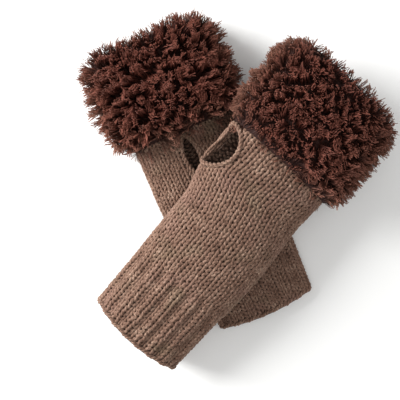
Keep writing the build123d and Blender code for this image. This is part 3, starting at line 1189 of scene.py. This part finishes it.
# %% [markdown]
# ## The bed
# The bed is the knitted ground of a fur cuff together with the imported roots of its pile. Its
# outside lies between the ground and the surface of the pile, and draws in at both ends; its
# inside is the inside of the cuff. The pile of each round of fur yarn is its own piece.

# %% The bed of each fur cuff
BED_STEPS = 26
BED_COLUMNS = 96
BED_SHARE = 0.50            # how far out between the ground and the pile's surface the bed lies
BED_SQUARENESS = 6          # how late the bed draws in towards its two ends
FABRIC_WALL = 3.2 * MM
FUR_ROUNDS = 6


def matched_by_angle(pile, skin, centre, glove):
    """The pile's ring, sampled where it is seen at the same angles as the skin's points."""
    flat_axes = np.stack([glove["across"], glove["up"]])
    seen = (skin - centre) @ flat_axes.T
    target = (pile - centre) @ flat_axes.T
    angles = np.arctan2(target[:, 1], target[:, 0])
    order = np.argsort(angles)
    wanted = np.arctan2(seen[:, 1], seen[:, 0])
    coordinates = [np.interp(wanted, angles[order], pile[order, k], period=TURN) for k in range(3)]
    return np.stack(coordinates, axis=1)


def fur_bed(glove):
    """The outer and inner rings of a fur cuff's bed, and the depth of pile over the outer ones."""
    low, high = glove["fur"]
    steps = np.linspace(low + NUDGE, high - NUDGE, BED_STEPS)
    ground_parts = ("fur_join", "fur_ground", "fur_cast_off")
    skin = surface_grid(glove, ground_parts, steps, BED_COLUMNS)
    round_parts = [f"fur_round_{number + 1}" for number in range(FUR_ROUNDS)]
    pile = surface_grid(glove, round_parts, steps, BED_COLUMNS)
    centre = skin.mean(axis=1, keepdims=True)
    matched = np.stack([
        matched_by_angle(pile[row], skin[row], centre[row], glove) for row in range(BED_STEPS)
    ])
    share = np.linspace(0, 1, BED_STEPS)
    swell = BED_SHARE * (1 - np.abs(2 * share - 1) ** BED_SQUARENESS) ** 0.5
    outer = skin + (matched - skin) * swell[:, None, None]
    inner = skin + grid_normals(skin) * -FABRIC_WALL
    return outer, inner, np.linalg.norm(matched - outer, axis=2)


def bed_piece(glove, rings, faces):
    """The bed as a closed smooth mesh."""
    side = glove["side"]
    bed = mesh_piece(side + "_fur_bed", rings.reshape(-1, 3), faces)
    for polygon in bed.data.polygons:
        polygon.use_smooth = True
    bed.data.materials.append(fur_core)
    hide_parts(side + "_fur_ground")
    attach(bed, side + "_glove")


CAST_OFF_ROW = BED_STEPS - 1.6
CAST_OFF_STEPS = 8          # points for each column of the bed
CAST_OFF_SEED = 80


def cast_off_chain(glove, inner):
    """The chain along the last round of the ground, half a wall outside the bed's inside."""
    side = glove["side"]
    turns = np.linspace(0, 1, CAST_OFF_STEPS * BED_COLUMNS, endpoint=False)
    row = np.full(len(turns), CAST_OFF_ROW)
    outward = on_grid(grid_normals(inner), turns, row)
    line = on_grid(inner, turns, row) + outward * FABRIC_WALL / 2
    ahead = np.tile(glove["axis"], (len(turns), 1))
    name = side + "_fur_cast_off_chain"
    cast_off = corded(name, line, outward, ahead, CAST_OFF_CORD, fur_core, CAST_OFF_SEED)
    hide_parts(side + "_fur_cast_off")
    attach(cast_off, side + "_glove")


# %% [markdown]
# ## The pile
# Outside, the pile is as long as the room up to the CAD model's surface, and its tips stand
# a little proud of that. It is shorter at both ends of the cuff and short on the inside. Next
# to the join it is brushed towards the fingers, so that it hangs over the join from above.

# %% The pile of each round
PILE_PROUD = 5.0 * MM
BRUSH = 1.1                 # how hard the pile is brushed to the fingers beside the join
BRUSHED_SHARE = 0.15        # share of the cuff's height over which that fades out
INSIDE_PILE = 0.45
STRANDS_PER_AREA = 1.35e6
PILE_SEED = 40


def pile_lengths(depth, inner):
    """The length of the pile at each point of the bed, as a share of a full strand."""
    outside = (depth + PILE_PROUD) / STRAND_LENGTH
    up_the_cuff = np.linspace(0, 1, BED_STEPS)
    ends = np.interp(up_the_cuff, (0, 0.1, 0.9, 1), (0.8, 1, 1, 0.55))
    return np.concatenate([outside * ends[:, None], np.full(inner.shape[:2], INSIDE_PILE)])


def pile_brushing(glove, inner):
    """How far the pile is brushed along the glove at each point of the bed."""
    up_the_cuff = np.linspace(0, 1, BED_STEPS)
    outside = BRUSH * np.clip(1 - up_the_cuff / BRUSHED_SHARE, 0, 1)
    share = np.concatenate([outside, np.zeros(len(inner))])
    return np.tile((share[:, None] * glove["axis"])[:, None, :], (1, BED_COLUMNS, 1))


def faces_of_round(number, faces):
    """The faces of the bed, outside and inside, that one round of fur yarn covers."""
    first = BED_STEPS * number / FUR_ROUNDS
    last = BED_STEPS * (number + 1) / FUR_ROUNDS
    chosen = []
    for index, face in enumerate(faces):
        row = index // BED_COLUMNS
        row = row if row < BED_STEPS else 2 * BED_STEPS - 1 - row
        if first <= row < last:
            chosen.append(face)
    return chosen


def pile_piece(glove, number, rings, faces, lengths, brushing):
    """The pile of one round of fur yarn, grown on its faces of the bed."""
    side = glove["side"]
    patch = mesh_piece(f"{side}_fur_pile_{number + 1}", rings.reshape(-1, 3), faces)
    kept = patch.data.attributes.new("pile", "FLOAT", "POINT")
    kept.data.foreach_set("value", lengths.reshape(-1).astype(np.float32))
    kept = patch.data.attributes.new("brush", "FLOAT_VECTOR", "POINT")
    kept.data.foreach_set("vector", brushing.reshape(-1).astype(np.float32))
    values = {
        "Strands Per Area": STRANDS_PER_AREA,
        "Strand Length": STRAND_LENGTH,
        "Root Radius": ROOT_RADIUS,
        "Tuft Size": TUFT_SIZE,
        "Curl": CURL,
        "Lowest": LOWEST,
        "Seed": PILE_SEED + number,
        "Yarn": fur,
    }
    made_by(strand_tree, patch, values)
    print(patch.name, "triangles", triangle_count(patch))
    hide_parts(f"{side}_fur_round_{number + 1}")
    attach(patch, side + "_glove")


for glove in gloves.values():
    outer, inner, depth = fur_bed(glove)
    rings = np.concatenate([outer, inner[::-1]])
    faces = ring_faces(len(rings), BED_COLUMNS, True)
    bed_piece(glove, rings, faces)
    cast_off_chain(glove, inner)
    lengths = pile_lengths(depth, inner)
    brushing = pile_brushing(glove, inner)
    for number in range(FUR_ROUNDS):
        pile_piece(glove, number, rings, faces_of_round(number, faces), lengths, brushing)
